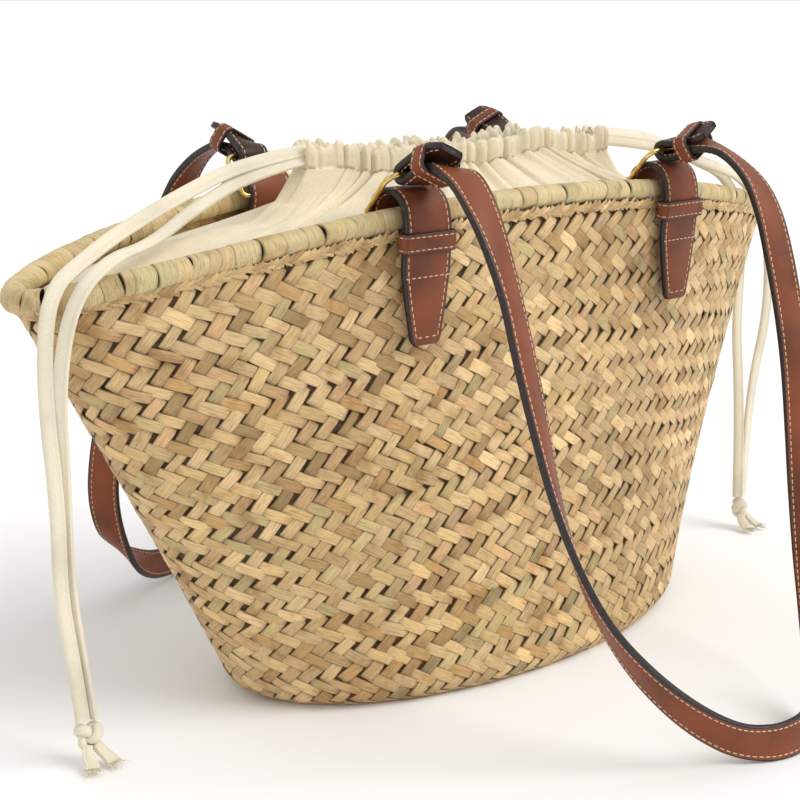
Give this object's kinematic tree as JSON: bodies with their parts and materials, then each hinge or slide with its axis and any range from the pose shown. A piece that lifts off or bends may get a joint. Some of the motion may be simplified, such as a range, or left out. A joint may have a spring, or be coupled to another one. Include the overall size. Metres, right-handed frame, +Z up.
{
  "type": "woven beach basket bag",
  "caption": "Oval woven palm-leaf beach basket with a gathered drawstring cotton lining and looped leather shoulder straps on swinging brass rings.",
  "frame": {"origin": "middle of the flat base, on the surface that the bag stands on", "axes": "+Z up, +X along the long axis of the oval, -Y towards the front"},
  "size_m": [0.6414, 0.5059, 0.3273],
  "materials": {
    "palm_leaf_plait": "dry satin straw",
    "pale_palm_leaf": "dry satin straw",
    "palm_cord": "dry matt fibre",
    "cotton_canvas": "matt plain weave",
    "cotton_tape": "matt stitched tape",
    "tan_leather": "smooth satin with dark painted edges",
    "brass": "polished"
  },
  "bodies": {
    "basket": {"back_left_tab": "tan_leather", "back_left_tab_band": "tan_leather", "back_right_tab": "tan_leather", "back_right_tab_band": "tan_leather", "basket_base": "palm_leaf_plait", "basket_wall": "palm_leaf_plait", "drawstring_casing": "cotton_canvas", "front_left_tab": "tan_leather", "front_left_tab_band": "tan_leather", "front_right_tab": "tan_leather", "front_right_tab_band": "tan_leather", "left_drawcord_in_casing": "cotton_tape", "left_drawcord_knot": "cotton_tape", "left_drawcord_leg_a": "cotton_tape", "left_drawcord_leg_b": "cotton_tape", "lining_bag": "cotton_canvas", "lining_collar": "cotton_canvas", "right_drawcord_in_casing": "cotton_tape", "right_drawcord_knot": "cotton_tape", "right_drawcord_leg_a": "cotton_tape", "right_drawcord_leg_b": "cotton_tape", "rim_core": "palm_cord", "rim_lashing": "palm_cord", "rim_wrap": "pale_palm_leaf"},
    "front_left_ring": {"front_left_ring": "brass"},
    "front_right_ring": {"front_right_ring": "brass"},
    "front_handle": {"front_strap": "tan_leather", "front_left_keeper": "tan_leather", "front_right_keeper": "tan_leather"},
    "back_left_ring": {"back_left_ring": "brass"},
    "back_right_ring": {"back_right_ring": "brass"},
    "back_handle": {"back_strap": "tan_leather", "back_left_keeper": "tan_leather", "back_right_keeper": "tan_leather"}
  },
  "joints": [
    {"name": "front_left_ring_swing", "type": "hinge", "parent": "basket", "child": "front_left_ring", "pos_m": [-0.108, -0.057, 0.2915], "axis": [-1, 0, 0], "range_deg": [0, 40]},
    {"name": "front_right_ring_swing", "type": "hinge", "parent": "basket", "child": "front_right_ring", "pos_m": [0.108, -0.057, 0.2915], "axis": [-1, 0, 0], "range_deg": [0, 40]},
    {"name": "front_handle_swing", "type": "hinge", "parent": "front_left_ring", "child": "front_handle", "pos_m": [0, -0.07707, 0.31379], "axis": [-1, 0, 0], "range_deg": [0, 110]},
    {"name": "back_left_ring_swing", "type": "hinge", "parent": "basket", "child": "back_left_ring", "pos_m": [-0.108, 0.057, 0.2915], "axis": [1, 0, 0], "range_deg": [0, 40]},
    {"name": "back_right_ring_swing", "type": "hinge", "parent": "basket", "child": "back_right_ring", "pos_m": [0.108, 0.057, 0.2915], "axis": [1, 0, 0], "range_deg": [0, 40]},
    {"name": "back_handle_swing", "type": "hinge", "parent": "back_left_ring", "child": "back_handle", "pos_m": [0, 0.07707, 0.31379], "axis": [1, 0, 0], "range_deg": [0, 110]}
  ],
  "couplings": [
    {"joint": "front_right_ring_swing", "follows": "front_left_ring_swing", "ratio": 1},
    {"joint": "back_right_ring_swing", "follows": "back_left_ring_swing", "ratio": 1}
  ]
}
